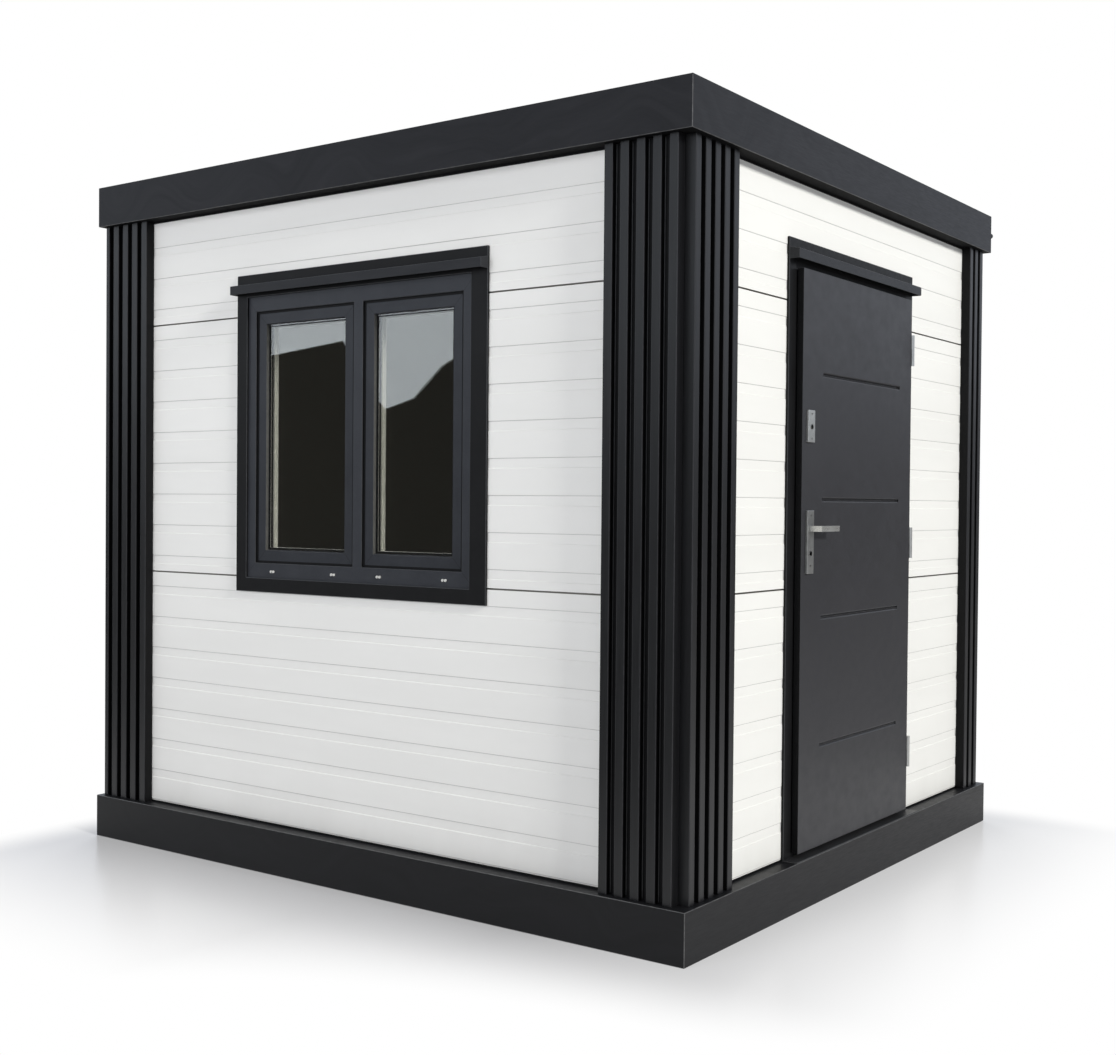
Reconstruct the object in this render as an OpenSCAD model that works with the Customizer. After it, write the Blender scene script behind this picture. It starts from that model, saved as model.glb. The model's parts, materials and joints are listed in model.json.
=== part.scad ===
// Retail kiosk: a small insulated cabin with a flat roof, one window and one door.
// The front with the window faces -Y, the door wall faces +X and +Z is up.
// The origin is on the ground under the middle of the plinth. Sizes are in millimetres.

/* [Overall] */
// Width over the plinth, along X
kiosk_w = 2860; // [2500:10:3600]
// Depth over the plinth, along Y
kiosk_d = 2600; // [2300:10:3400]
// Height from the ground to the top of the fascia
kiosk_h = 2700; // [2600:10:2900]

/* [Plinth and floor] */
// Height of the plinth's outer face
plinth_h = 170; // [150:1:220]
// Height of the seat inside the plinth that carries the wall panels
seat_h = 115; // [90:1:140]
// Thickness of the folded plinth sheet
plinth_sheet = 5; // [3:0.5:10]
// Height of the finished floor
floor_h = 165; // [140:1:170]

/* [Walls] */
// Distance from the plinth face back to the wall face
wall_inset = 62; // [50:1:90]
// Thickness of a wall panel
panel_t = 100; // [60:1:150]
// Height of the top course of panels, which is cut to fit
top_course_h = 445; // [400:1:520]
// Height of the shadow gap at a panel joint
joint_gap = 6; // [2:0.5:8]
// Depth of the shadow gap at a panel joint
joint_depth = 12; // [3:0.5:12]
// Spacing of the shallow bands rolled into a panel face
band_pitch = 125; // [80:1:200]
// Height of one band
band_w = 36; // [20:1:60]
// Height of the first band above the panel's lower edge
band_first = 31; // [20:1:60]
// Depth of a band
band_depth = 1.8; // [0.6:0.1:3]
// Height over which a band slopes to its depth
band_slope = 2.5; // [1:0.5:8]

/* [Slat cladding] */
// Thickness of the board behind the ribs
slat_board_t = 18; // [10:1:24]
// Height of a rib above the board
rib_h = 22; // [10:1:24]
// Width of a rib
rib_w = 32; // [20:1:45]
// Spacing of the ribs
rib_pitch = 60; // [50:1:90]
// Width of a full cladding strip
strip_w = 272; // [200:1:330]
// Width of the strip that closes the front's left corner
strip_left_w = 260; // [200:1:330]
// Width of the narrow strip that closes the door wall's far corner
strip_far_w = 172; // [120:1:250]

/* [Roof] */
// Height of the fascia's face
fascia_h = 162; // [140:1:200]
// Height by which the walls reach up behind the fascia
fascia_lap = 22; // [10:1:30]
// Width of the fascia's top, over the roof's edge
fascia_top_w = 122; // [90:1:160]
// Thickness of the folded fascia sheet
fascia_sheet = 4; // [2:0.5:8]
// Thickness of the roof panel
roof_panel_t = 100; // [60:1:105]
// Thickness of the roof sheet
roof_sheet_t = 4; // [2:0.5:8]
// Outside diameter of the rain spout
spout_d = 22; // [16:1:40]
// Wall of the rain spout
spout_wall = 2; // [1.5:0.5:4]
// Length of the rain spout past the fascia
spout_reach = 35; // [20:1:110]
// Distance of the rain spout from the rear right corner
spout_inset = 16; // [14:1:60]

/* [Window] */
// Middle of the window along X
win_x = -23; // [-200:1:200]
// Height of the window's lower edge
win_z = 1100; // [900:1:1114]
// Width of the window frame
win_w = 1166; // [900:1:1300]
// Distance of the window frame's top below the soffit
win_drop = 340; // [300:1:400]
// Width of the window frame's face
win_face = 68; // [50:1:90]
// Width of the mullion
mullion_w = 46; // [40:1:110]
// Distance of the mullion to the right of the window's middle
mullion_shift = 22; // [-60:1:60]
// Gap round a sash
sash_gap = 4; // [2:0.5:8]
// Distance of the sash face behind the frame face
sash_recess = 8; // [4:1:20]
// Depth of a sash
sash_d = 52; // [44:1:60]
// Thickness of the stop behind the sashes
stop_t = 10; // [5:1:20]
// Width by which the stop laps a sash
stop_lap = 10; // [5:1:20]
// Width of a sash's face
sash_face = 44; // [30:1:60]
// Width of the bevel from the sash face down to the glass
bead_w = 8; // [4:1:14]
// Depth of the bevel from the sash face down to the glass
bead_d = 12; // [6:1:16]
// Thickness of the double glazing
glass_t = 24; // [16:1:28]

/* [Surrounds] */
// Depth of the surrounds of window and door
surround_d = 10; // [6:0.5:16]
// Width of the window surround on its left
win_left = 56; // [40:1:100]
// Width of the window surround on its right
win_right = 73; // [40:1:100]
// Width of the window surround along its bottom
win_bottom = 54; // [40:1:100]
// Width of the window surround along its top
win_top = 86; // [80:1:110]
// Lap of the window surround over the frame's sides
lap_side = 27; // [8:1:40]
// Lap of the window surround over the frame's top and bottom
lap_end = 11; // [8:1:30]
// Reach of a drip cap in front of its surround
cap_reach = 38; // [20:1:50]
// Height of a drip cap's front lip
cap_lip = 33; // [15:1:40]
// Fall of a drip cap from its back to its lip
cap_fall = 8; // [3:1:15]
// Distance of a drip cap's lip below the surround's top
cap_drop = 44; // [30:1:46]
// Thickness of the drip cap's sheet
cap_sheet = 3; // [1.5:0.5:5]

/* [Door] */
// Middle of the door along Y
door_y = -20; // [-200:1:200]
// Width of the door leaf
leaf_w = 960; // [800:1:1010]
// Distance of the door surround's top below the soffit
door_drop = 205; // [160:1:300]
// Distance of the leaf's face in front of the wall face
leaf_proud = 39; // [34:1:50]
// Depth of the leaf's body behind its rim
leaf_body_d = 36; // [25:1:50]
// Lap of the leaf's rim over the door frame
leaf_lap = 24; // [24:1:45]
// Thickness of the door frame's lining
lining_t = 30; // [20:1:40]
// Clearance between the leaf and the fixed pieces it passes
leaf_gap = 5; // [5:0.5:8]
// Clearance between the leaf's body and the lining
body_gap = 7; // [7:0.5:12]
// Clearance under the leaf
sill_gap = 16; // [6:1:20]
// Height of the sill above the plinth
sill_t = 4; // [4:1:14]
// Width of the door surround beyond the leaf on the lock side
door_lock_side = 53; // [40:1:90]
// Width of the door surround beyond the leaf on the hinge side
door_hinge_side = 73; // [50:1:90]
// Height of the door surround above the leaf
door_top = 104; // [90:1:130]
// Places of the grooves between the lowest (0) and the highest (1)
groove_places = [0, 0.346, 0.664, 1]; // [0:0.001:1]
// Length of a groove
groove_l = 685; // [400:5:740]
// Height of a groove
groove_w = 16; // [8:1:24]
// Depth of a groove
groove_d = 7; // [2:0.5:8]
// Height of the lowest groove above the leaf's lower edge
groove_first = 353; // [250:1:400]
// Distance of the highest groove below the leaf's upper edge
groove_last = 350; // [250:1:400]
// Distance of the grooves from the leaf's middle towards the hinges
groove_shift = 23; // [0:1:60]

/* [Door fittings] */
// Distance of the lever's axis from the leaf's lock edge
backset = 54; // [50:1:80]
// Height of the lever's axis
lever_z = 1325; // [1100:1:1340]
// Width of the outer plates
plate_w = 50; // [34:1:52]
// Width of the inner plates
plate_in_w = 42; // [30:1:44]
// Thickness of the handle plates
plate_t = 10; // [6:1:14]
// Height of the handle plates
plate_h = 221; // [190:1:260]
// Height of the lever's axis above the middle of its plate
plate_drop = 47; // [30:1:70]
// Height of the lock plates
lock_h = 112; // [70:1:140]
// Height of the lock plates' middle above the lever's axis
lock_rise = 358; // [250:1:450]
// Side of the lever's square neck
neck_w = 20; // [16:1:24]
// Reach of the lever from the leaf
lever_reach = 57; // [45:1:70]
// Length of the grip from the lever's axis
grip_l = 134; // [100:1:140]
// Thickness of the grip
grip_t = 12; // [9:1:16]
// Diameter of the lever's spindle
spindle_d = 16; // [10:0.5:18]
// Radial clearance of spindle and hinge pins
pin_clear = 0.3; // [0.1:0.05:0.4]
// Gap between faces that turn on each other
face_clear = 0.5; // [0.2:0.1:0.8]
// Diameter of a hinge barrel
barrel_d = 16; // [14:0.5:20]
// Length of a hinge
hinge_l = 122; // [80:1:160]
// Diameter of a hinge pin
hinge_pin_d = 9; // [6:0.5:10]
// Length of a hinge pin in the upper half
hinge_pin_l = 40; // [20:1:55]
// Distance of a hinge barrel's front from the leaf's face
barrel_proud = 8; // [0:0.5:10]
// Clearance between a hinge barrel and the leaf's edge
barrel_gap = 1.5; // [1:0.1:3]
// Thickness of the plate that carries a hinge barrel
wing_t = 6; // [4:0.5:8]
// Height of the lowest hinge above the leaf's lower edge
hinge_low = 171; // [120:1:260]
// Distance of the top hinge below the leaf's upper edge
hinge_high = 139; // [100:1:260]
// Height of the middle hinge above the middle between the other two
hinge_rise = 35; // [-200:1:200]

/* [Hidden] */
$fn = 48;
eps = 1;

// Colours
base_dark = "#2b2c30";
floor_grey = "#8d8f90";
column_dark = "#303236";
panel_white = "#e9e9e6";
slat_dark = "#2d2e32";
roof_pale = "#c9cac8";
roof_grey = "#55575a";
fascia_dark = "#2f3035";
frame_grey = "#3c3e44";
sash_grey = "#383a40";
glass_dark = "#20262a";
trim_dark = "#292a2c";
sill_dark = "#303133";
leaf_grey = "#4b4c50";
steel = "#bdbdb9";

// Distances inwards from the plinth face
wall_in = wall_inset + panel_t;
slat_face = wall_inset - slat_board_t - rib_h;
surround_face = wall_inset - surround_d;
leaf_face = wall_inset - leaf_proud;
leaf_rim_back = surround_face - leaf_gap;
leaf_back = leaf_rim_back + leaf_body_d;
sash_front = wall_inset + sash_recess;
sash_back = sash_front + sash_d;
win_back = sash_back + stop_t;
glass_front = sash_front + bead_d;
glass_back = glass_front + glass_t;

// Heights
soffit_z = kiosk_h - fascia_h;
wall_top = soffit_z + fascia_lap;
roof_top = wall_top + roof_panel_t;
sheet_top = roof_top + roof_sheet_t;
joint_2 = wall_top - top_course_h;
joint_1 = (seat_h + joint_2) / 2;
sill_top = plinth_h + sill_t;
leaf_z = sill_top + sill_gap;
surround_top = soffit_z - door_drop;
leaf_top = surround_top - door_top;
door_clear_top = leaf_top - leaf_lap;

// Half lengths of the walls between the corner columns
half_w = kiosk_w / 2 - wall_inset;
half_d = kiosk_d / 2 - wall_inset;
run_w = half_w - panel_t;
run_d = half_d - panel_t;

// Door positions along the door wall
leaf_lock = door_y - leaf_w / 2;
leaf_hinge = door_y + leaf_w / 2;
clear_lock = leaf_lock + leaf_lap;
clear_hinge = leaf_hinge - leaf_lap;
open_lock = clear_lock - lining_t;
open_hinge = clear_hinge + lining_t;
open_top = door_clear_top + lining_t;
lever_y = leaf_lock + backset;
pin_y = leaf_hinge + barrel_d / 2 + barrel_gap;
pin_in = leaf_face + barrel_d / 2 - barrel_proud;
groove_low = leaf_z + groove_first;
groove_span = leaf_top - groove_last - groove_w - groove_low;
half_hinge = hinge_l / 2;
hinge_foot = leaf_z + hinge_low;
hinge_head = leaf_top - hinge_high - hinge_l;
hinge_feet = [hinge_foot, (hinge_foot + hinge_head) / 2 + hinge_rise, hinge_head];

// Window positions along the front
win_l = win_x - win_w / 2;
win_r = win_x + win_w / 2;
win_t = soffit_z - win_drop;
mullion_l = win_x + mullion_shift - mullion_w / 2;
lights = [
  [win_l + win_face, mullion_l],
  [mullion_l + mullion_w, win_r - win_face]
];
light_z = win_z + win_face;
light_top = win_t - win_face;
win_trim = [
  win_l + lap_side - win_left,
  win_z + lap_end - win_bottom,
  win_r - lap_side + win_right,
  win_t - lap_end + win_top
];
door_trim = [leaf_lock - door_lock_side, leaf_hinge + door_hinge_side];

// Places that work in a wall's own frame: X runs along it from left to right
// as seen from outside, Y runs inwards from the plinth face and Z is up
module on_front() translate([0, -kiosk_d / 2, 0]) children();
module on_right() translate([kiosk_w / 2, 0, 0]) rotate([0, 0, 90]) children();
module on_rear() translate([0, kiosk_d / 2, 0]) rotate([0, 0, 180]) children();
module on_left() translate([-kiosk_w / 2, 0, 0]) rotate([0, 0, -90]) children();

// A section drawn as (inwards, up) and drawn out along the wall
module run(from, to) {
  translate([from, 0, 0]) rotate([90, 0, 90]) linear_extrude(to - from) children();
}

// A box given by its limits
module block(low, high) translate(low) cube(high - low);

// A slab given by its limits along the wall and in height, and its two depths
module slab(low, high, front, back) block([low[0], front, low[1]], [high[0], back, high[1]]);

// A beam along one side, mitred to its neighbours
module mitred(length, depth) {
  intersection() {
    run(-length / 2, length / 2) children();
    linear_extrude(kiosk_h + eps)
      polygon([
        [-length / 2, 0],
        [length / 2, 0],
        [length / 2 - depth, depth],
        [depth - length / 2, depth]
      ]);
  }
}

module plinth_section() {
  s = plinth_sheet;
  difference() {
    polygon([
      [0, 0], [0, plinth_h], [wall_inset, plinth_h],
      [wall_inset, seat_h], [wall_in, seat_h], [wall_in, 0]
    ]);
    polygon([
      [s, s], [s, plinth_h - s], [wall_inset - s, plinth_h - s],
      [wall_inset - s, seat_h - s], [wall_in - s, seat_h - s], [wall_in - s, s]
    ]);
  }
}

module plinth(length) mitred(length, wall_in) plinth_section();
module plinth_front() color(base_dark) on_front() plinth(kiosk_w);
module plinth_rear() color(base_dark) on_rear() plinth(kiosk_w);
module plinth_left() color(base_dark) on_left() plinth(kiosk_d);
module plinth_right() color(base_dark) on_right() plinth(kiosk_d);

module floor_deck() {
  corner = [kiosk_w / 2 - wall_in, kiosk_d / 2 - wall_in, 0];
  color(floor_grey) block(-corner, corner + [0, 0, floor_h]);
}

module corner_columns() {
  color(column_dark)
    for (x = [-half_w, run_w], y = [-half_d, run_d])
      translate([x, y, seat_h]) cube([panel_t, panel_t, wall_top - seat_h]);
}

// The shallow bands along a panel's outer face, from the lower to the upper edge
function band_points(foot, top) = [
  for (z = [foot + band_first : band_pitch : top - joint_gap - band_w])
    each [
      [wall_inset, z],
      [wall_inset + band_depth, z + band_slope],
      [wall_inset + band_depth, z + band_w - band_slope],
      [wall_inset, z + band_w]
    ]
];

module panel_section(foot, top) {
  rebate = wall_inset + joint_depth;
  edge = joint_gap / 2;
  polygon(concat(
    [[rebate, foot], [rebate, foot + edge], [wall_inset, foot + edge]],
    band_points(foot, top),
    [[wall_inset, top - edge], [rebate, top - edge], [rebate, top]],
    [[wall_in, top], [wall_in, foot]]
  ));
}

module wall_panel(from, to, foot, top) run(from, to) panel_section(foot, top);

module front_panel(foot, top) {
  on_front()
    difference() {
      wall_panel(-run_w, run_w, foot, top);
      slab([win_l, win_z], [win_r, win_t], 0, wall_in + eps);
    }
}

module front_wall_lower() color(panel_white) front_panel(seat_h, joint_1);
module front_wall_middle() color(panel_white) front_panel(joint_1, joint_2);
module front_wall_upper() color(panel_white) front_panel(joint_2, wall_top);

// The door wall's panels stand beside and over the doorway
module right_panels(foot, top) {
  on_right() {
    wall_panel(-run_d, open_lock, foot, top);
    wall_panel(open_hinge, run_d, foot, top);
  }
}

module right_wall_lower() color(panel_white) right_panels(seat_h, joint_1);
module right_wall_middle() color(panel_white) right_panels(joint_1, joint_2);
module right_wall_upper() color(panel_white) right_panels(joint_2, wall_top);

module right_wall_over_door() {
  color(panel_white)
    on_right()
      difference() {
        union() {
          wall_panel(open_lock, open_hinge, joint_1, joint_2);
          wall_panel(open_lock, open_hinge, joint_2, wall_top);
        }
        slab([open_lock - eps, 0], [open_hinge + eps, open_top], 0, wall_in + eps);
      }
}

module rear_panel(foot, top) on_rear() wall_panel(-run_w, run_w, foot, top);
module rear_wall_lower() color(panel_white) rear_panel(seat_h, joint_1);
module rear_wall_middle() color(panel_white) rear_panel(joint_1, joint_2);
module rear_wall_upper() color(panel_white) rear_panel(joint_2, wall_top);

module left_panel(foot, top) on_left() wall_panel(-run_d, run_d, foot, top);
module left_wall_lower() color(panel_white) left_panel(seat_h, joint_1);
module left_wall_middle() color(panel_white) left_panel(joint_1, joint_2);
module left_wall_upper() color(panel_white) left_panel(joint_2, wall_top);

// A cladding strip whose ribs start at its inner end and run out towards the corner
module slat_section(width) {
  translate([0, wall_inset - slat_board_t]) square([width, slat_board_t]);
  for (x = [0 : rib_pitch : width - eps])
    translate([x, slat_face]) square([min(rib_w, width - x), rib_h + eps]);
}

// The inner end lies at from, and the strip runs to the right or to the left
module slats(from, width, to_right) {
  translate([from, 0, plinth_h])
    mirror([to_right ? 0 : 1, 0, 0])
      linear_extrude(soffit_z - plinth_h) slat_section(width);
}

module end_slats(half, left_w, right_w) {
  slats(left_w - half, left_w, false);
  slats(half - right_w, right_w, true);
}

// The front's left strip runs on over the end of the left wall's strip
module front_slats() {
  color(slat_dark)
    on_front() {
      slats(slat_face - kiosk_w / 2 + strip_left_w, strip_left_w, false);
      slats(half_w - strip_w, strip_w, true);
    }
}

// The door wall's far strip runs on over the end of the rear wall's strip
module right_slats() {
  color(slat_dark)
    on_right() {
      slats(strip_w - half_d, strip_w, false);
      slats(kiosk_d / 2 - slat_face - strip_far_w, strip_far_w, true);
    }
}

module rear_slats() color(slat_dark) on_rear() end_slats(half_w, strip_w, strip_w);
module left_slats() color(slat_dark) on_left() end_slats(half_d, strip_w, strip_w);

module roof_panel() color(roof_pale) block([-half_w, -half_d, wall_top], [half_w, half_d, roof_top]);
module roof_sheet() color(roof_grey) block([-half_w, -half_d, roof_top], [half_w, half_d, sheet_top]);

module fascia_section() {
  s = fascia_sheet;
  difference() {
    polygon([
      [0, soffit_z], [0, kiosk_h], [fascia_top_w, kiosk_h],
      [fascia_top_w, sheet_top], [wall_inset, sheet_top], [wall_inset, soffit_z]
    ]);
    polygon([
      [s, soffit_z + s], [s, kiosk_h - s], [fascia_top_w - s, kiosk_h - s],
      [fascia_top_w - s, sheet_top + s], [wall_inset - s, sheet_top + s], [wall_inset - s, soffit_z + s]
    ]);
  }
}

module fascia(length) mitred(length, fascia_top_w) fascia_section();
module fascia_front() color(fascia_dark) on_front() fascia(kiosk_w);
module fascia_rear() color(fascia_dark) on_rear() fascia(kiosk_w);
module fascia_left() color(fascia_dark) on_left() fascia(kiosk_d);
module fascia_right() color(fascia_dark) on_right() fascia(kiosk_d);

// A short tube that lets rainwater out through the rear fascia
module rain_spout() {
  color(base_dark)
    on_rear()
      translate([spout_inset - kiosk_w / 2, 0, soffit_z + fascia_h / 2])
        rotate([90, 0, 0])
          difference() {
            cylinder(d = spout_d, h = spout_reach);
            translate([0, 0, spout_wall]) cylinder(d = spout_d - 2 * spout_wall, h = spout_reach);
          }
}

module window_frame() {
  stop = sash_gap + stop_lap;
  color(frame_grey)
    on_front()
      difference() {
        block([win_l, wall_inset, win_z], [win_r, win_back, win_t]);
        for (light = lights) {
          block([light[0], 0, light_z], [light[1], sash_back, light_top]);
          block([light[0] + stop, 0, light_z + stop], [light[1] - stop, wall_in, light_top - stop]);
        }
      }
}

// A sash with edges bevelled down to the glass, which sits in a groove
module sash(left, right) {
  low = [left + sash_gap, light_z + sash_gap];
  high = [right - sash_gap, light_top - sash_gap];
  pane = [sash_face, sash_face];
  sight = pane + [bead_w, bead_w];
  difference() {
    slab(low, high, sash_front, sash_back);
    slab(low + sight, high - sight, 0, wall_in);
    slab(low + pane, high - pane, glass_front, glass_back);
    hull() {
      slab(low + pane, high - pane, sash_front - eps, sash_front);
      slab(low + sight, high - sight, glass_front, glass_back);
    }
  }
}

module window_sashes() {
  color(sash_grey) on_front() for (light = lights) sash(light[0], light[1]);
}

module window_glass() {
  edge = sash_gap + sash_face;
  color(glass_dark, 0.6)
    on_front()
      for (light = lights)
        slab([light[0] + edge, light_z + edge], [light[1] - edge, light_top - edge], glass_front, glass_back);
}

module window_surround() {
  color(trim_dark)
    on_front()
      difference() {
        slab([win_trim[0], win_trim[1]], [win_trim[2], win_trim[3]], surround_face, wall_inset);
        slab([win_l + lap_side, win_z + lap_end], [win_r - lap_side, win_t - lap_end], 0, wall_in);
      }
}

// A sloping sheet with a lip turned down at its front and closed ends
module drip_cap(from, to, top) {
  front = surround_face - cap_reach;
  lip = top - cap_drop;
  s = cap_sheet;
  difference() {
    run(from, to)
      polygon([
        [surround_face, lip + cap_fall], [front, lip],
        [front, lip - cap_lip], [surround_face, lip - cap_lip]
      ]);
    run(from + s, to - s)
      polygon([
        [surround_face + eps, lip + cap_fall - s], [surround_face, lip + cap_fall - s],
        [front + s, lip - s], [front + s, lip - cap_lip - eps],
        [surround_face + eps, lip - cap_lip - eps]
      ]);
  }
}

module window_drip_cap() {
  color(trim_dark) on_front() drip_cap(win_trim[0], win_trim[2], win_trim[3]);
}

module door_jambs() {
  color(trim_dark)
    on_right() {
      slab([open_lock, seat_h], [clear_lock, door_clear_top], wall_inset, wall_in);
      slab([clear_hinge, seat_h], [open_hinge, door_clear_top], wall_inset, wall_in);
    }
}

module door_head() {
  color(trim_dark)
    on_right() slab([open_lock, door_clear_top], [open_hinge, open_top], wall_inset, wall_in);
}

module door_surround() {
  color(trim_dark)
    on_right()
      difference() {
        slab([door_trim[0], sill_top], [door_trim[1], surround_top], surround_face, wall_inset);
        slab([clear_lock, 0], [clear_hinge, door_clear_top], 0, wall_in);
      }
}

module door_drip_cap() {
  color(trim_dark) on_right() drip_cap(door_trim[0], door_trim[1], surround_top);
}

// The sill lies on the plinth and steps down between the jambs onto the seat
module door_sill() {
  color(sill_dark)
    on_right() {
      slab([door_trim[0], plinth_h], [door_trim[1], sill_top], 0, wall_inset);
      run(clear_lock, clear_hinge)
        polygon([
          [0, plinth_h], [wall_inset, plinth_h], [wall_inset, seat_h],
          [wall_in, seat_h], [wall_in, sill_top], [0, sill_top]
        ]);
    }
}

// A groove with sloping sides, pressed into the leaf's face
module groove(z) {
  run(door_y + groove_shift - groove_l / 2, door_y + groove_shift + groove_l / 2)
    polygon([
      [leaf_face - eps, z],
      [leaf_face, z],
      [leaf_face + groove_d, z + groove_d],
      [leaf_face + groove_d, z + groove_w - groove_d],
      [leaf_face, z + groove_w],
      [leaf_face - eps, z + groove_w]
    ]);
}

// The spindle's hole, from in front of the leaf to behind it
module spindle_hole() {
  translate([lever_y, leaf_face - lever_reach, lever_z])
    rotate([-90, 0, 0])
      cylinder(d = spindle_d + 2 * pin_clear, h = leaf_back - leaf_face + 2 * lever_reach);
}

module door_leaf() {
  color(leaf_grey)
    on_right()
      difference() {
        union() {
          slab([leaf_lock, leaf_z], [leaf_hinge, leaf_top], leaf_face, leaf_rim_back);
          slab(
            [clear_lock + body_gap, leaf_z],
            [clear_hinge - body_gap, door_clear_top - body_gap],
            leaf_face + groove_d + eps,
            leaf_back
          );
        }
        for (place = groove_places) groove(groove_low + place * groove_span);
        spindle_hole();
      }
}

// A plate outside and one inside, both at the same height
module plate_pair(height, middle) {
  for (plate = [[leaf_face - plate_t, plate_w], [leaf_back, plate_in_w]])
    translate([lever_y - plate[1] / 2, plate[0], middle - height / 2]) cube([plate[1], plate_t, height]);
}

module door_plates() {
  color(steel)
    on_right()
      difference() {
        union() {
          plate_pair(plate_h, lever_z - plate_drop);
          plate_pair(lock_h, lever_z + lock_rise);
        }
        spindle_hole();
      }
}

// Each hinge has a lower half with its pin on the frame and an upper half on the leaf
module hinge_frame_halves() {
  color(steel)
    on_right()
      for (z = hinge_feet) {
        translate([pin_y, pin_in, z]) cylinder(d = barrel_d, h = half_hinge - face_clear);
        translate([pin_y, pin_in, z]) cylinder(d = hinge_pin_d, h = half_hinge + hinge_pin_l);
        slab(
          [pin_y - wing_t / 2, z],
          [pin_y + wing_t / 2, z + half_hinge - leaf_gap],
          pin_in,
          surround_face
        );
      }
}

module hinge_leaf_halves() {
  color(steel)
    on_right()
      for (z = hinge_feet)
        difference() {
          union() {
            translate([pin_y, pin_in, z + half_hinge]) cylinder(d = barrel_d, h = half_hinge);
            slab(
              [leaf_hinge, z + half_hinge + leaf_gap],
              [pin_y, z + hinge_l],
              leaf_face,
              leaf_face + wing_t
            );
          }
          translate([pin_y, pin_in, z])
            cylinder(d = hinge_pin_d + 2 * pin_clear, h = half_hinge + hinge_pin_l + face_clear);
        }
}

// One half of the lever: its square neck and the grip that points to the hinges
module lever_arm(near, far) {
  half = neck_w / 2;
  grip = far > near ? [far - grip_t, far] : [far, far + grip_t];
  slab([lever_y - half, lever_z - half], [lever_y + half, lever_z + half], min(near, far), max(near, far));
  slab([lever_y - half, lever_z - half], [lever_y + grip_l, lever_z + half], grip[0], grip[1]);
}

// A lever outside and one inside on the same spindle
module door_lever() {
  outer = leaf_face - plate_t - face_clear;
  inner = leaf_back + plate_t + face_clear;
  color(steel)
    on_right() {
      translate([lever_y, outer - eps, lever_z])
        rotate([-90, 0, 0])
          cylinder(d = spindle_d, h = inner - outer + 2 * eps);
      lever_arm(outer, leaf_face - lever_reach);
      lever_arm(inner, leaf_back + lever_reach);
    }
}

plinth_front();
plinth_rear();
plinth_left();
plinth_right();
floor_deck();
corner_columns();
front_wall_lower();
front_wall_middle();
front_wall_upper();
right_wall_lower();
right_wall_middle();
right_wall_upper();
right_wall_over_door();
rear_wall_lower();
rear_wall_middle();
rear_wall_upper();
left_wall_lower();
left_wall_middle();
left_wall_upper();
front_slats();
right_slats();
rear_slats();
left_slats();
roof_panel();
roof_sheet();
fascia_front();
fascia_rear();
fascia_left();
fascia_right();
rain_spout();
window_frame();
window_sashes();
window_glass();
window_surround();
window_drip_cap();
door_jambs();
door_head();
door_surround();
door_drip_cap();
door_sill();
door_leaf();
door_plates();
hinge_frame_halves();
hinge_leaf_halves();
door_lever();
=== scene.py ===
import json
import math
import bmesh
import bpy
from mathutils import Matrix, Vector


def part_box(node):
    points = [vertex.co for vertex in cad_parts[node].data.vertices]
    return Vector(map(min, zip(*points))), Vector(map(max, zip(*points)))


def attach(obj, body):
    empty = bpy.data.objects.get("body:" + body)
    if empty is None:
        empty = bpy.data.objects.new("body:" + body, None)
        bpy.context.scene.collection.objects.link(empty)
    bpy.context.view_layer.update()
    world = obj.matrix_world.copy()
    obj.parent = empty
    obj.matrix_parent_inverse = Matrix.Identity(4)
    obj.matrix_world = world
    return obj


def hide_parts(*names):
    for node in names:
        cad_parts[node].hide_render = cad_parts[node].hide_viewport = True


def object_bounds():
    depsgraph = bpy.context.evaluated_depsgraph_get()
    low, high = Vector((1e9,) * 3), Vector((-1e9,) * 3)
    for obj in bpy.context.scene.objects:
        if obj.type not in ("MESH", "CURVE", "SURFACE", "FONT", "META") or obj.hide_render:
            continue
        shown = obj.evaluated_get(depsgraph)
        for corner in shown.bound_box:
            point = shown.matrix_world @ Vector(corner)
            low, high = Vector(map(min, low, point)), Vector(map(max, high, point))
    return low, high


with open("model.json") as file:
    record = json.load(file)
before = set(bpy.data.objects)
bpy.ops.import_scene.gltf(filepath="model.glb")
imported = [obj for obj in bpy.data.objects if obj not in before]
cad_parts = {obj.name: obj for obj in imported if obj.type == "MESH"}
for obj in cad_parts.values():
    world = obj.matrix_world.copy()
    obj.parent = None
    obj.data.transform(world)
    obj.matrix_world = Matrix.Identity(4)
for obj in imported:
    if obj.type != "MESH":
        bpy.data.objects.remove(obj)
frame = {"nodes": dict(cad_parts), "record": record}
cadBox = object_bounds()
nodes = frame["nodes"]
record = frame["record"]
bodyOf = {node: body for body, names in record["behaviour"]["bodies"].items() for node in names}
slotOf = {entry["node"]: entry["material_slot"] for entry in record["subparts"]}
print("frame:", len(nodes), "nodes")


# shader sockets as plain arithmetic
class Sock:
    def __init__(self, finish, socket):
        self.finish = finish
        self.socket = socket

    def math(self, operation, other=0.0, flip=False):
        first, second = (other, self) if flip else (self, other)
        return self.finish.node("ShaderNodeMath", {"operation": operation}, {0: first, 1: second})

    def __abs__(self):
        return self.math("ABSOLUTE")

    def __add__(self, other):
        return self.math("ADD", other)

    def __radd__(self, other):
        return self.math("ADD", other, True)

    def __sub__(self, other):
        return self.math("SUBTRACT", other)

    def __rsub__(self, other):
        return self.math("SUBTRACT", other, True)

    def __mul__(self, other):
        return self.math("MULTIPLY", other)

    def __rmul__(self, other):
        return self.math("MULTIPLY", other, True)

    def __truediv__(self, other):
        return self.math("DIVIDE", other)

    def __rtruediv__(self, other):
        return self.math("DIVIDE", other, True)

    def __pow__(self, other):
        return self.math("POWER", other)

    def __rpow__(self, other):
        return self.math("POWER", other, True)


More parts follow.
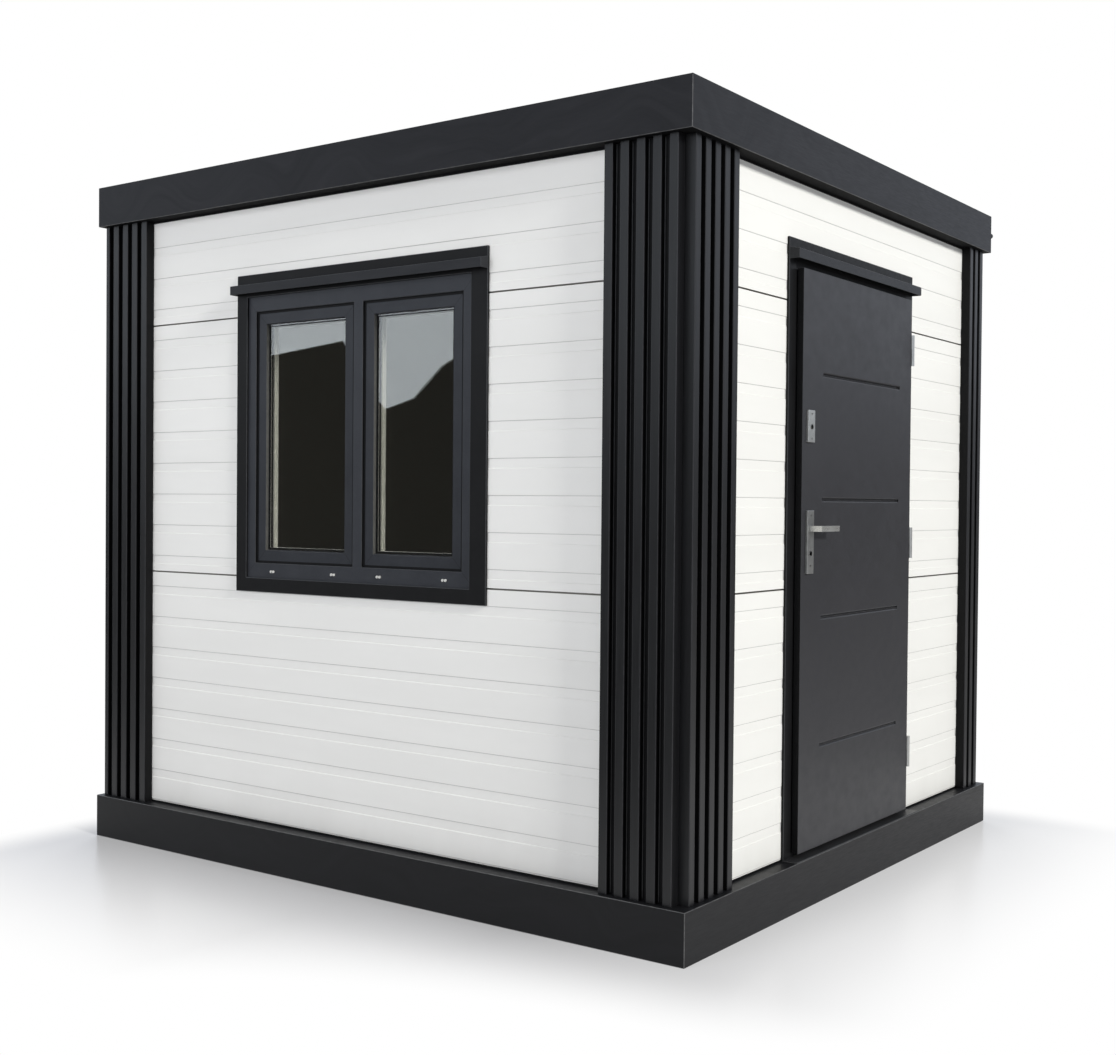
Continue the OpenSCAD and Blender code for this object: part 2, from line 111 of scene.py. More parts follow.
class Finish:
    def __init__(self, name, holder=None):  # a new material, or the world when it is given
        self.material = holder or bpy.data.materials.new(name)
        self.material.use_nodes = True
        self.tree = self.material.node_tree
        self.shader = self.tree.nodes["Background" if holder else "Principled BSDF"]

    def plug(self, target, value):
        if isinstance(value, Sock):
            self.tree.links.new(value.socket, target)
        else:
            target.default_value = value

    def node(self, kind, settings=None, sockets=None, out=0):
        made = self.tree.nodes.new(kind)
        for key, value in (settings or {}).items():
            setattr(made, key, value)
        for key, value in (sockets or {}).items():
            self.plug(made.inputs[key], value)
        return Sock(self, made.outputs[out])

    def surface(self, **sockets):  # baseColor -> Base Color
        for key, value in sockets.items():
            title = "".join(" " + c if c.isupper() else c for c in key)
            self.plug(self.shader.inputs[title[0].upper() + title[1:]], value)

    def gloss(self, level):
        self.shader.inputs["Specular IOR Level"].default_value = level

    def place(self, axis):  # X, Y or Z of the object coordinates
        where = self.node("ShaderNodeTexCoord", out="Object")
        return self.node("ShaderNodeSeparateXYZ", {}, {"Vector": where}, axis)

    def spot(self, scale=(1, 1, 1)):  # object coordinates in metres, stretched
        where = self.node("ShaderNodeTexCoord", out="Object")
        return self.node("ShaderNodeMapping", {}, {"Vector": where, "Scale": scale})

    def ray(self, kind):
        return self.node("ShaderNodeLightPath", out="Is " + kind + " Ray")

    def noise(self, where, scale, detail=2.0, roughness=0.5):
        sockets = {"Vector": where, "Scale": scale, "Detail": detail, "Roughness": roughness}
        return self.node("ShaderNodeTexNoise", {}, sockets)

    def ramp(self, value, low, high):  # 0 at low, 1 at high, clamped
        sockets = {"Value": value, "From Min": low, "From Max": high}
        return self.node("ShaderNodeMapRange", {"clamp": True}, sockets)

    def mix(self, factor, first, second):
        return self.node("ShaderNodeMix", {"data_type": "RGBA"}, {0: factor, 6: first, 7: second}, 2)

    def bump(self, height, strength, distance):
        sockets = {"Height": height, "Strength": strength, "Distance": distance}
        return self.node("ShaderNodeBump", {}, sockets)


def shade(red, green, blue):  # 0..255 as seen on screen
    def linear(c):
        c = c / 255
        return c / 12.92 if c <= 0.04045 else ((c + 0.055) / 1.055) ** 2.4
    return (linear(red), linear(green), linear(blue), 1.0)


# coated metal: tone drifts slowly, fine orange peel, rubbed streaks that wander
coats = {
    "fasciaCoat": {"dark": (19, 19, 22), "light": (32, 32, 35), "rough": 0.44, "gloss": 0.17,
                   "streak": (1.6, 1.6, 17), "wander": 0.5},
    "plinthCoat": {"dark": (17, 17, 18), "light": (24, 24, 26), "rough": 0.42, "gloss": 0.18,
                   "streak": (1.6, 1.6, 17), "wander": 0.4},
    "trimCoat": {"dark": (20, 20, 21), "light": (26, 26, 27), "rough": 0.45, "gloss": 0.12,
                 "streak": (4, 4, 4)},
    "capCoat": {"dark": (32, 33, 36), "light": (41, 42, 45), "rough": 0.42, "gloss": 0.16,
                "streak": (3, 3, 12)},
    "frameCoat": {"dark": (47, 49, 54), "light": (54, 56, 61), "rough": 0.40, "gloss": 0.20,
                  "streak": (5, 5, 5)},
    "sashCoat": {"dark": (43, 45, 50), "light": (50, 52, 57), "rough": 0.38, "gloss": 0.20,
                 "streak": (5, 5, 5)},
    "doorCoat": {"dark": (41, 41, 44), "light": (46, 46, 49), "rough": 0.40, "gloss": 0.25,
                 "streak": (1.5, 1.5, 1.5)},
    "columnCoat": {"dark": (30, 31, 33), "light": (40, 41, 43), "rough": 0.5, "gloss": 0.15,
                   "streak": (3, 3, 3)},
    "spoutCoat": {"dark": (24, 24, 26), "light": (32, 32, 34), "rough": 0.5, "gloss": 0.2,
                  "streak": (9, 9, 9)},
}
coatDetail = {"bend": 2.6, "drift": 1.6, "peel": 420.0, "rub": 2.0, "rubStretch": (6, 6, 8),
              "rubShare": 0.25, "roughSpread": 0.14, "bump": 0.12, "bumpHeight": 0.0006}


def coated(name):
    c = coats[name]
    d = coatDetail
    f = Finish(name)
    where = f.spot(c["streak"])
    if "wander" in c:
        sockets = {"Vector": f.spot(), "Scale": d["bend"], "Detail": 1.0}
        bend = f.node("ShaderNodeTexNoise", {}, sockets, "Color")
        push = (0, 0, c["streak"][2] * c["wander"])
        where = f.node("ShaderNodeVectorMath", {"operation": "MULTIPLY_ADD"}, {0: bend, 1: push, 2: where})
    drift = f.noise(where, d["drift"], 4.0, 0.6)
    peel = f.noise(f.spot(), d["peel"])
    rub = f.noise(f.spot([a * b for a, b in zip(c["streak"], d["rubStretch"])]), d["rub"], 3.0)
    tone = f.ramp(drift * (1 - d["rubShare"]) + rub * d["rubShare"], 0.3, 0.7)
    f.surface(baseColor=f.mix(tone, shade(*c["dark"]), shade(*c["light"])),
              roughness=f.ramp(rub, 0.2, 0.8) * d["roughSpread"] + (c["rough"] - d["roughSpread"] / 2),
              normal=f.bump(peel, d["bump"], d["bumpHeight"]))
    f.gloss(c["gloss"])
    return f.material


# ribbed boards: long faint grain; the sunk board is a duller backing, and the same duller finish on the rib
# sides is painted shade
slatLook = {
    "slatFinish": {"dark": (13, 13, 14), "light": (20, 20, 22), "gloss": 0.36},
    "slatBackingAndShade": {"dark": (14, 14, 15), "light": (19, 19, 20), "gloss": 0.10},
}
slatDetail = {"grain": (26, 26, 0.9), "fine": (160, 160, 3.0), "fineShare": 0.3, "rough": 0.38,
              "roughSpread": 0.16, "bump": 0.10, "bumpHeight": 0.0005}


def slatBoard(name):
    c = slatLook[name]
    d = slatDetail
    f = Finish(name)
    grain = f.noise(f.spot(d["grain"]), 2.2, 5.0, 0.6)
    fine = f.noise(f.spot(d["fine"]), 2.0, 3.0)
    tone = f.ramp(grain * (1 - d["fineShare"]) + fine * d["fineShare"], 0.32, 0.68)
    f.surface(baseColor=f.mix(tone, shade(*c["dark"]), shade(*c["light"])),
              roughness=f.ramp(fine, 0.25, 0.75) * d["roughSpread"] + (d["rough"] - d["roughSpread"] / 2),
              normal=f.bump(fine, d["bump"], d["bumpHeight"]))
    f.gloss(c["gloss"])
    return f.material


# white skin: faint emboss, a soft drift of tone, grime near the plinth, darker joints, painted shade on
# faces that look down, and a mid grey inside that is painted shade for the dim room
panelLook = {
    "clean": (243, 243, 240), "dull": (238, 238, 235), "foot": (224, 223, 220), "crease": (208, 208, 206),
    "joint": (138, 135, 128), "jointDepth": 0.004, "lining": (112, 110, 106), "liningSkin": 0.02,
    "rough": 0.46, "roughSpread": 0.10, "gloss": 0.35, "emboss": (140, 140, 320), "bump": 0.10,
    "bumpHeight": 0.0006, "grimeTop": 0.42, "grimeFull": 0.16, "grime": 0.45,
}


def panelSkin():
    c = panelLook
    f = Finish("panelSkin")

    def deeper(depth):  # 1 where the skin lies this far in from the outer faces
        mask = 1.0
        for axis, wall in enumerate(("right_wall_lower", "rear_wall_lower")):
            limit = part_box(wall)[1][axis] - depth
            mask = mask * f.ramp(abs(f.place("XY"[axis])), limit + 0.001, limit - 0.001)
        return mask

    low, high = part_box("right_wall_lower")
    inside = deeper(high.x - low.x - c["liningSkin"])
    joint = deeper(c["jointDepth"])
    normal = f.node("ShaderNodeNewGeometry", out="True Normal")
    tilt = f.node("ShaderNodeSeparateXYZ", {}, {"Vector": normal}, "Z")
    drift = f.ramp(f.noise(f.spot((0.8, 0.8, 5.0)), 1.1, 4.0, 0.55), 0.3, 0.7)
    emboss = f.noise(f.spot(c["emboss"]), 1.0, 3.0, 0.6)
    patches = f.ramp(f.noise(f.spot((7, 7, 3)), 1.0, 5.0), 0.35, 0.75)
    grime = f.ramp(f.place("Z"), c["grimeTop"], c["grimeFull"]) * patches
    colour = f.mix(drift, shade(*c["dull"]), shade(*c["clean"]))
    colour = f.mix(grime * c["grime"], colour, shade(*c["foot"]))
    # faces that look down, such as the upper slopes of the pressed bands, are darker: painted shade
    colour = f.mix(f.ramp(tilt, -0.2, -0.5), colour, shade(*c["crease"]))
    colour = f.mix(joint, colour, shade(*c["joint"]))
    # the room-side faces are mid grey: painted shade for the dim room
    f.surface(baseColor=f.mix(inside, colour, shade(*c["lining"])),
              roughness=f.ramp(emboss, 0.3, 0.7) * c["roughSpread"] + (c["rough"] - c["roughSpread"] / 2),
              normal=f.bump(emboss, c["bump"], c["bumpHeight"]))
    f.gloss(c["gloss"])
    return f.material


# brushed fittings: grain is the stretch of the brush marks
steelLook = {
    "brushedSteel": {"dark": (152, 152, 150), "light": (192, 192, 189), "rough": 0.33, "metallic": 0.92,
                     "grain": (900, 900, 30)},
    # paler steel for the lock plate: a painted reflection
    "lockPlateSheenSteel": {"dark": (188, 188, 185), "light": (220, 220, 216), "rough": 0.31, "metallic": 0.92,
                   "grain": (900, 900, 30)},
    # paler, less metallic steel for the lever: a painted sheen for its highlights
    "leverSheenSteel": {"dark": (186, 186, 183), "light": (206, 206, 202), "rough": 0.30, "metallic": 0.78,
                   "grain": (220, 14, 220)},
}
steelDetail = {"wear": (40, 40, 40), "wearShare": 0.4, "roughSpread": 0.16, "bump": 0.08,
               "bumpHeight": 0.0003}


def brushed(name):
    c = steelLook[name]
    d = steelDetail
    f = Finish(name)
    brush = f.noise(f.spot(c["grain"]), 1.0, 4.0, 0.65)
    wear = f.noise(f.spot(d["wear"]), 1.0, 3.0)
    tone = f.ramp(brush * (1 - d["wearShare"]) + wear * d["wearShare"], 0.3, 0.7)
    f.surface(baseColor=f.mix(tone, shade(*c["dark"]), shade(*c["light"])),
              roughness=f.ramp(brush, 0.2, 0.8) * d["roughSpread"] + (c["rough"] - d["roughSpread"] / 2),
              metallic=c["metallic"],
              normal=f.bump(brush, d["bump"], d["bumpHeight"]))
    return f.material


# mottled finishes of one tone: scale is how fine the mottle is
plainLook = {
    "floorSheet": {"low": (120, 122, 123), "high": (142, 143, 143), "rough": 0.5, "scale": 60.0},
    "sillCoat": {"low": (34, 34, 35), "high": (46, 46, 47), "rough": 0.42, "scale": 14.0},
    # near black: the real seals and bars, and also painted shade where it is laid in recesses and gaps
    "gasket": {"low": (9, 9, 10), "high": (16, 16, 17), "rough": 0.6, "scale": 80.0, "gloss": 0.15},
    "spacerBar": {"low": (172, 172, 168), "high": (196, 196, 192), "rough": 0.32, "scale": 120.0,
                  "bump": 0.05, "metallic": 0.6},
    "roomBead": {"low": (214, 214, 208), "high": (228, 228, 222), "rough": 0.4, "scale": 30.0},
    "drainPlastic": {"low": (196, 196, 192), "high": (220, 220, 216), "rough": 0.4, "scale": 200.0},
    "undersideShade": {"low": (15, 15, 16), "high": (22, 22, 23), "rough": 0.7, "scale": 30.0, "gloss": 0.05},
    "beadGrey": {"low": (62, 62, 60), "high": (76, 76, 73), "rough": 0.45, "scale": 60.0},
    # paler finishes for rounded edges: wear and a painted highlight
    "rubbedEdgeAndHighlight": {"low": (38, 39, 41), "high": (56, 57, 59), "rough": 0.42, "scale": 70.0},
    "ribEdge": {"low": (26, 26, 28), "high": (38, 38, 40), "rough": 0.42, "scale": 70.0},
    "wornEdge": {"low": (52, 52, 53), "high": (92, 92, 92), "rough": 0.42, "scale": 40.0},
    "grooveLipHighlight": {"low": (80, 80, 82), "high": (104, 104, 106), "rough": 0.4, "scale": 60.0},
    "keyBlack": {"low": (10, 10, 11), "high": (18, 18, 19), "rough": 0.4, "scale": 200.0},
}
plainUsual = {"gloss": 0.4, "bump": 0.1, "metallic": 0.0, "roughSpread": 0.12, "bumpHeight": 0.0006}


def plainFinish(name):
    c = {**plainUsual, **plainLook[name]}
    f = Finish(name)
    mottle = f.noise(f.spot(), c["scale"], 5.0, 0.6)
    f.surface(baseColor=f.mix(f.ramp(mottle, 0.3, 0.7), shade(*c["low"]), shade(*c["high"])),
              roughness=f.ramp(mottle, 0.2, 0.8) * c["roughSpread"] + (c["rough"] - c["roughSpread"] / 2),
              metallic=c["metallic"],
              normal=f.bump(mottle, c["bump"], c["bumpHeight"]))
    f.gloss(c["gloss"])
    return f.material


# roofing membrane: welded laps, dust that collects in shallow ponds
roofLook = {"dark": (80, 82, 84), "light": (98, 100, 102), "dust": (124, 122, 116), "dustShare": 0.55,
            "weld": (64, 66, 68), "weldShare": 0.8, "weldWide": 0.012, "lap": 0.93, "lapStart": 20.2,
            "rough": 0.62, "gloss": 0.3, "bump": 0.25, "bumpHeight": 0.002}


def roofSheet():
    c = roofLook
    f = Finish("roofSheet")
    turn = (f.place("X") / c["lap"] + c["lapStart"]).math("FRACT")
    wide = c["weldWide"] / c["lap"]
    weld = f.ramp(turn, wide, 0.6 * wide)
    mottle = f.noise(f.spot(), 9.0, 5.0, 0.6)
    pond = f.ramp(f.noise(f.spot(), 1.3, 4.0, 0.55), 0.52, 0.72)
    colour = f.mix(f.ramp(mottle, 0.3, 0.7), shade(*c["dark"]), shade(*c["light"]))
    colour = f.mix(pond * c["dustShare"], colour, shade(*c["dust"]))
    f.surface(baseColor=f.mix(weld * c["weldShare"], colour, shade(*c["weld"])),
              roughness=c["rough"] - pond * 0.1,
              normal=f.bump(weld + mottle * 0.2, c["bump"], c["bumpHeight"]))
    f.gloss(c["gloss"])
    return f.material


# sheet glass: clear, slightly tinted, with a faint smear
paneLook = {"tint": (226, 226, 222), "rough": 0.002, "smear": 0.006, "index": 1.54}


def paneGlass():
    c = paneLook
    f = Finish("paneGlass")
    smear = f.ramp(f.noise(f.spot((3, 3, 1.4)), 2.0, 3.0), 0.35, 0.75)
    f.surface(baseColor=shade(*c["tint"]), roughness=smear * c["smear"] + c["rough"])
    f.shader.inputs["IOR"].default_value = c["index"]
    f.shader.inputs["Transmission Weight"].default_value = 1.0
    return f.material


finishes = {name: coated(name) for name in coats}
finishes.update({name: slatBoard(name) for name in slatLook})
finishes.update({name: brushed(name) for name in steelLook})
finishes.update({name: plainFinish(name) for name in plainLook})
finishes["panelSkin"] = panelSkin()
finishes["roofSheet"] = roofSheet()
finishes["paneGlass"] = paneGlass()
print("finishes:", len(finishes))

finishOf = {
    "plinthCoat": ["plinth_front", "plinth_rear", "plinth_left", "plinth_right"],
    "fasciaCoat": ["fascia_front", "fascia_rear", "fascia_left", "fascia_right"],
    "trimCoat": ["window_surround", "door_jambs", "door_head", "door_surround"],
    "capCoat": ["window_drip_cap", "door_drip_cap"],
    "frameCoat": ["window_frame"],
    "sashCoat": ["window_sashes"],
    "doorCoat": ["door_leaf"],
    "columnCoat": ["corner_columns"],
    "spoutCoat": ["rain_spout"],
    "sillCoat": ["door_sill"],
    "slatFinish": ["front_slats", "right_slats", "rear_slats", "left_slats"],
    "panelSkin": [n for n in nodes if "_wall_" in n] + ["roof_panel"],
    "brushedSteel": ["door_plates", "hinge_frame_halves", "hinge_leaf_halves"],
    "leverSheenSteel": ["door_lever"],
    "floorSheet": ["floor_deck"],
    "roofSheet": ["roof_sheet"],
    "paneGlass": ["window_glass"],
}
for finish, names in finishOf.items():
    for name in names:
        nodes[name].data.materials.clear()
        nodes[name].data.materials.append(finishes[finish])


def newPiece(name, mesh, body, slot, *stands):
    piece = bpy.data.objects.new(name, mesh)
    bpy.context.scene.collection.objects.link(piece)
    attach(piece, body)
    if stands:
        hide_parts(*stands)
    return piece


def middle(name):
    low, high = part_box(name)
    return (low + high) / 2


# folded and machined edges: width of the rounding in metres
edges = {
    "front_slats": 0.0025, "right_slats": 0.0025, "rear_slats": 0.0025, "left_slats": 0.0025,
    "window_surround": 0.0020, "window_drip_cap": 0.0010, "window_frame": 0.0018, "window_sashes": 0.0008,
    "door_jambs": 0.0015, "door_surround": 0.0020, "door_drip_cap": 0.0010, "door_sill": 0.0018,
    "door_leaf": 0.0016, "door_plates": 0.0012, "door_lever": 0.0016,
}
rings = {"fascia": 0.0022, "plinth": 0.0022}
# angles in degrees; sunk and inset tell the ribs' faces from what lies between them
edgeForm = {"merge": 1e-5, "flat": 0.5, "sharp": 35, "holeMargin": 0.013, "lockFrom": 1.55, "sunk": 0.0005,
            "inset": 0.001}


def formed(name, names, width, edge=None, cuts=()):  # joined copy with rounded edges, mitred ends left out
    mesh = nodes[names[0]].data.copy()
    mesh.name = name
    if edge:
        mesh.materials.append(finishes[edge])
    work = bmesh.new()
    for one in names:
        work.from_mesh(nodes[one].data)
    bmesh.ops.remove_doubles(work, verts=work.verts, dist=edgeForm["merge"])
    if len(names) > 1:
        ends = [face for face in work.faces if min(abs(face.normal.x), abs(face.normal.y)) > 0.5]
        bmesh.ops.delete(work, geom=ends, context="FACES_ONLY")
    flat = math.radians(edgeForm["flat"])
    bmesh.ops.dissolve_limit(work, angle_limit=flat, verts=work.verts, edges=work.edges)
    for axis, place in cuts:  # keeps thin triangles close to a hole
        plane = [float(axis == i) for i in range(3)]
        geom = work.verts[:] + work.edges[:] + work.faces[:]
        bmesh.ops.bisect_plane(work, geom=geom, plane_co=[place * p for p in plane], plane_no=plane)
    bmesh.ops.triangulate(work, faces=[face for face in work.faces if len(face.verts) > 6])
    work.to_mesh(mesh)
    work.free()
    piece = newPiece(name, mesh, bodyOf[names[0]], slotOf[names[0]], *names)
    bevel = piece.modifiers.new("edge", "BEVEL")
    bevel.width = width
    bevel.segments = 2
    bevel.limit_method = "ANGLE"
    bevel.angle_limit = math.radians(edgeForm["sharp"])
    bevel.material = 1 if edge else -1  # the rounding has a finish of its own: paler, for wear and a painted highlight along the edges
    return piece


def facing(piece, finish, test):  # faces that pass the test get another finish
    piece.data.materials.append(finishes[finish])
    for face in piece.data.polygons:
        if test(face):
            face.material_index = len(piece.data.materials) - 1


def backingAndRibShade(piece, name):  # the board and the rib sides that face each other are darker: a dull backing board, and painted shade on the rib sides
    across = 0 if "right" in name or "left" in name else 1
    along = 1 - across
    low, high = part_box(name)
    plane = max(abs(low[across]), abs(high[across]))
    first = low[along] + edgeForm["inset"]
    last = high[along] - edgeForm["inset"]

    def sunk(face):
        place = face.center
        board = abs(face.normal[across]) > 0.9 and plane - abs(place[across]) > edgeForm["sunk"]
        ribSide = abs(face.normal[along]) > 0.9 and first < place[along] < last
        return board or ribSide

    facing(piece, "slatBackingAndShade", sunk)


def settle(piece):  # applies the rounding, and the folds along the top keep the coat
    shown = piece.evaluated_get(bpy.context.evaluated_depsgraph_get())
    piece.data = bpy.data.meshes.new_from_object(shown)
    piece.modifiers.clear()
    for face in piece.data.polygons:
        if face.material_index == 1 and face.normal.z > 0.2:
            face.material_index = 0


def makeEdges():
    spindle = (0, middle("door_plates").y, middle("door_lever").z)
    margin = edgeForm["holeMargin"]
    holeCuts = [(axis, spindle[axis] + side * margin) for axis in (1, 2) for side in (-1, 1)]
    for name, width in edges.items():
        edge = "ribEdge" if name.endswith("_slats") else "rubbedEdgeAndHighlight"
        if slotOf[name] == "fitting_steel":
            edge = None
        piece = formed(name + "_formed", [name], width, edge, holeCuts if name == "door_leaf" else ())
        if name.endswith("_slats"):
            backingAndRibShade(piece, name)
        if name.endswith("_cap"):
            # the undersides of the drip caps are near black: painted shade
            facing(piece, "undersideShade", lambda face: face.normal.z < -0.9)
        if name == "window_frame":
            # the frame's faces that look right and down are near black: painted shade in the reveals
            facing(piece, "gasket", lambda face: face.normal.x > 0.9 or face.normal.z < -0.9)
        if name == "window_sashes":
            facing(piece, "beadGrey", lambda face: abs(face.normal.x) > 0.9 and face.normal.y < -0.1)
        if name == "door_leaf":
            # the leaf's side edge faces are near black
            facing(piece, "gasket", lambda face: abs(face.normal.y) > 0.9)
        if name == "door_plates":
            # the lock plate is paler than the handle plate: a painted reflection
            facing(piece, "lockPlateSheenSteel", lambda face: face.center.z > edgeForm["lockFrom"])
    for ring, width in rings.items():
        sides = [ring + side for side in ("_front", "_right", "_rear", "_left")]
        piece = formed(ring + "_ring", sides, width, "wornEdge")
        if ring == "fascia":
            # the fascia's underside is near black: painted shade under the overhang
            facing(piece, "undersideShade", lambda face: face.normal.z < -0.9)
            settle(piece)
    print("formed edges:", len(edges) + len(rings))


makeEdges()


def quadMesh(name, quads, finish):
    mesh = bpy.data.meshes.new(name)
    points = [p for quad in quads for p in quad]
    mesh.from_pydata(points, [], [tuple(range(4 * i, 4 * i + 4)) for i in range(len(quads))])
    mesh.materials.append(finishes[finish])
    return mesh


def boxes(name, spans, finish):
    mesh = bpy.data.meshes.new(name)
    work = bmesh.new()
    for low, high in spans:
        low = Vector(low)
        high = Vector(high)
        place = Matrix.Translation((low + high) / 2) @ Matrix.Diagonal((*(high - low), 1.0))
        bmesh.ops.create_cube(work, size=1.0, matrix=place)
    work.to_mesh(mesh)
    work.free()
    mesh.materials.append(finishes[finish])
    return mesh


# pressed grooves of the leaf: a shaded upper slope over a lower one that catches the light, both painted: a
# near-black wedge as painted shade over a pale wedge as a painted highlight
grooves = {"start": 0.0017, "depth": 0.0042, "ends": 0.0003, "split": 0.18, "floorFrom": 0.004,
           "floorTo": 0.010}


def wedge(work, corners, start, end):
    rims = [[work.verts.new((x, y, z)) for x, z in corners] for y in (start, end)]
    for i in range(3):
        j = (i + 1) % 3
        work.faces.new((rims[0][i], rims[0][j], rims[1][j], rims[1][i]))
    work.faces.new(rims[0][::-1])
    work.faces.new(rims[1])


def makeGrooves():
    g = grooves
    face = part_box("door_leaf")[1].x
    mesh = nodes["door_leaf"].data
    floors = {}
    for part in mesh.polygons:
        if part.normal.x > 0.9 and g["floorFrom"] < face - part.center.x < g["floorTo"]:
            points = [mesh.vertices[i].co for i in part.vertices]
            floors.setdefault(round(part.center.z, 1), []).extend(points)
    near = face - g["start"]
    deep = face - g["depth"]
    # near-black upper wedges are painted shade, pale lower wedges a painted highlight
    for name, side, finish in (("groove_shades", 1, "gasket"), ("groove_lit_lips", -1, "grooveLipHighlight")):
        work = bmesh.new()
        for points in floors.values():
            ys = [p.y for p in points]
            zs = [p.z for p in points]
            high = max(zs) - min(zs)
            brim = (min(zs) + max(zs) + side * (high - 2 * g["ends"])) / 2
            fold = max(zs) - g["split"] * high
            corners = [(near, brim), (deep, brim), (deep, fold)]
            wedge(work, corners, min(ys) + g["ends"], max(ys) - g["ends"])
        bmesh.ops.recalc_face_normals(work, faces=work.faces)
        made = bpy.data.meshes.new(name)
        work.to_mesh(made)
        work.free()
        made.materials.append(finishes[finish])
        newPiece(name, made, "door", slotOf["door_leaf"])
    print("grooves:", len(floors))


makeGrooves()

# near-black strips where the wall skins meet the plinth and the soffit, and a painted shadow strip over the
# leaf under the drip cap
darkStrips = {"foot": 0.007, "head": 0.008, "proud": 0.003, "stripGap": 0.002, "stripBack": 0.0005,
            "stripProud": 0.001}


def makeDarkStrips():
    w = darkStrips
    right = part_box("right_wall_lower")[1].x
    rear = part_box("rear_wall_lower")[1].y
    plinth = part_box("plinth_front")[1].z
    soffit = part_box("fascia_front")[0].z
    door = [corner.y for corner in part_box("door_surround")]
    spans = []
    for side, axis, sign in (("front", 0, -1), ("rear", 0, 1), ("left", 1, -1), ("right", 1, 1)):
        places = [v.co[axis] for v in nodes[side + "_slats"].data.vertices]
        stops = [max(p for p in places if p < 0), min(p for p in places if p > 0)]
        reach = rear if axis == 0 else right
        near, far = sorted((sign * reach, sign * (reach + w["proud"])))
        footStops = [stops[0], *door, stops[1]] if side == "right" else stops
        runs = [(*run, plinth, plinth + w["foot"]) for run in zip(footStops[::2], footStops[1::2])]
        runs.append((*stops, soffit - w["head"], soffit))
        for start, end, low, high in runs:
            if axis == 0:
                spans.append(((start, near, low), (end, far, high)))
            else:
                spans.append(((near, start, low), (far, end, high)))
    newPiece("wall_dark_strips", boxes("wall_dark_strips", spans, "gasket"), "cabin", "spout_plastic")
    # a near-black strip on the surround between the leaf's top and the drip cap: painted shadow under the
    # cap
    leafLow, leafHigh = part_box("door_leaf")
    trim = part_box("door_surround")[1].x
    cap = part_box("door_drip_cap")[0].z
    strip = ((trim - w["stripBack"], leafLow.y, leafHigh.z + w["stripGap"]),
             (trim + w["stripProud"], leafHigh.y, cap))
    newPiece("door_head_shadow_strip", boxes("door_head_shadow_strip", [strip], "gasket"), "cabin", "spout_plastic")
    print("wall seals:", len(spans))


makeDarkStrips()

# sealed glazing unit: two panes, a dark bar with bright lines between them, room-side beads behind
glazing = {
    "pane": 0.004, "seat": 0.008, "bar": 0.003, "barGap": 0.0003, "line": 0.0016, "lineIn": 0.0008,
    "lineLap": 0.0006, "seal": 0.0035, "sealDepth": 0.0012, "bead": 0.004, "beadGap": 0.0005,
    "beadDepth": 0.020, "sashFace": 0.044, "gap": 0.0038, "lap": 0.005, "lapProud": 0.0012,
    "lapDepth": 0.004,
}


def lightBoxes():  # lowest and highest corner of the glass in the left and the right sash
    corners = {}
    for vertex in nodes["window_glass"].data.vertices:
        corners.setdefault(vertex.co.x > 0, []).append(vertex.co)
    sides = [corners[side] for side in (False, True)]
    return [[[op(p[i] for p in points) for i in range(3)] for op in (min, max)] for points in sides]


def rim(low, high, wide, front, back):
    (x0, _, z0), (x1, _, z1) = low, high
    return [((x0, front, z0), (x0 + wide, back, z1)),
            ((x1 - wide, front, z0), (x1, back, z1)),
            ((x0 + wide, front, z0), (x1 - wide, back, z0 + wide)),
            ((x0 + wide, front, z1 - wide), (x1 - wide, back, z1))]


def makeGlazing():
    g = glazing
    outer, inner, bars, lines, seals, beads, laps = ([] for _ in range(7))
    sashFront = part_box("window_sashes")[0].y
    for low, high in lightBoxes():
        front = low[1]
        back = high[1]
        gap = front + g["pane"]
        end = back - g["pane"]
        outer.append((low, (high[0], gap, high[2])))
        inner.append(((low[0], end, low[2]), high))
        inLow = [low[0] + g["seat"], low[1], low[2] + g["seat"]]
        inHigh = [high[0] - g["seat"], high[1], high[2] - g["seat"]]
        bars += rim(low, high, g["seat"] + g["bar"], gap + g["barGap"], end - g["barGap"])
        for first in (gap + g["lineIn"], end - g["lineIn"] - g["line"]):
            lines += rim(inLow, inHigh, g["bar"] + g["lineLap"], first, first + g["line"])
        seals += rim(inLow, inHigh, g["seal"], front - g["sealDepth"], front)
        beads += rim(inLow, inHigh, g["bead"], back + g["beadGap"], back + g["beadDepth"])
        # near-black laps round each sash over its gap to the frame: painted shade in that gap
        out = g["sashFace"] + g["gap"]
        lapLow = [low[0] - out, 0, low[2] - out]
        lapHigh = [high[0] + out, 0, high[2] + out]
        lapFront = sashFront - g["lapProud"]
        laps += rim(lapLow, lapHigh, g["gap"] + g["lap"], lapFront, sashFront + g["lapDepth"])
    for name, spans, stands in (("glazing_outer", outer, ["window_glass"]), ("glazing_inner", inner, [])):
        sheet = newPiece(name, boxes(name, spans, "paneGlass"), "cabin", "glazing", *stands)
        sheet.visible_shadow = False  # daylight reaches the beads
    for name, spans, finish, slot in (("glazing_bars", bars, "gasket", "spout_plastic"),
                                      ("glazing_lines", lines, "spacerBar", "fitting_steel"),
                                      ("glazing_seals", seals, "gasket", "spout_plastic"),
                                      ("sash_shade_laps", laps, "gasket", "spout_plastic"),
                                      ("room_beads", beads, "roomBead", "panel_paint")):
        newPiece(name, boxes(name, spans, finish), "cabin", slot)
    print("glazing: panes, bars, seals and beads")


makeGlazing()

# mitred corners of sashes, frame and surround: hairlines just proud of the faces
seams = {"wide": 0.0007, "lift": 0.0002, "frameFrom": 0.030, "frameTo": 0.068, "sashFrom": 0.0015,
         "trimFrom": 0.001, "trimLeft": 0.056, "trimRight": 0.073, "trimUp": 0.054}


